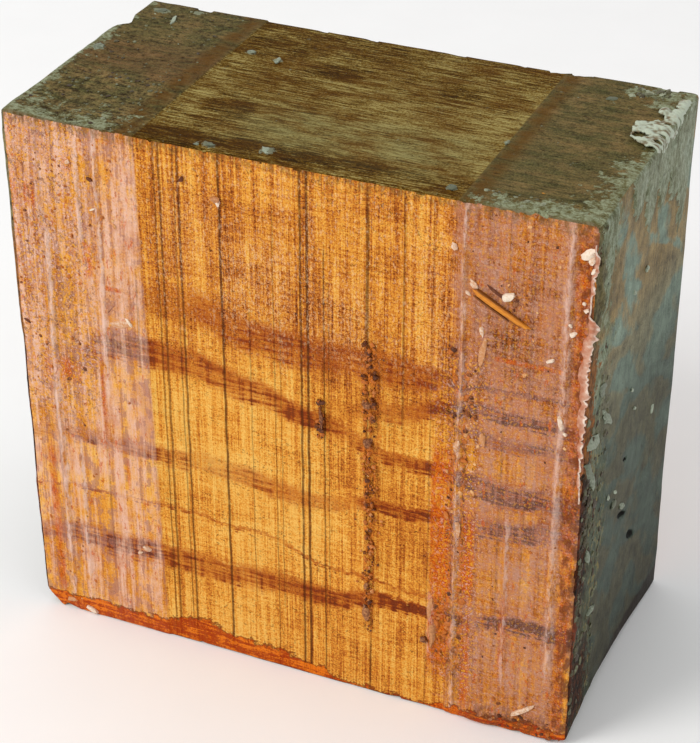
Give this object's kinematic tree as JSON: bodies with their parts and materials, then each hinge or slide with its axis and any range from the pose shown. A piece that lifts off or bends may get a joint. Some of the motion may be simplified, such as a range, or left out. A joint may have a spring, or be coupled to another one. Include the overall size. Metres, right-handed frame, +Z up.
{
  "type": "wood turning blank",
  "caption": "Squared block of figured hardwood for a lathe, its ends sealed with wax, with worn edges and a flat side to screw a faceplate to.",
  "frame": {"origin": "middle of the footprint, on the surface that the block stands on", "axes": "+X along the grain from the left end to the right end, +Y through the thickness from the sawn front face to the back, +Z up"},
  "size_m": [0.155, 0.0798, 0.1518],
  "materials": {
    "wood": "bandsawn orange wood with brown figure, milky wax film over both ends, weathered grey green on top and on the end grain",
    "wax": "pale grey green curdled wax, soft sheen",
    "splinter_wood": "torn bright orange fibres"
  },
  "bodies": {
    "root": {"wood_block": "wood", "wax_clot": "wax", "splinter": "splinter_wood"}
  },
  "joints": []
}
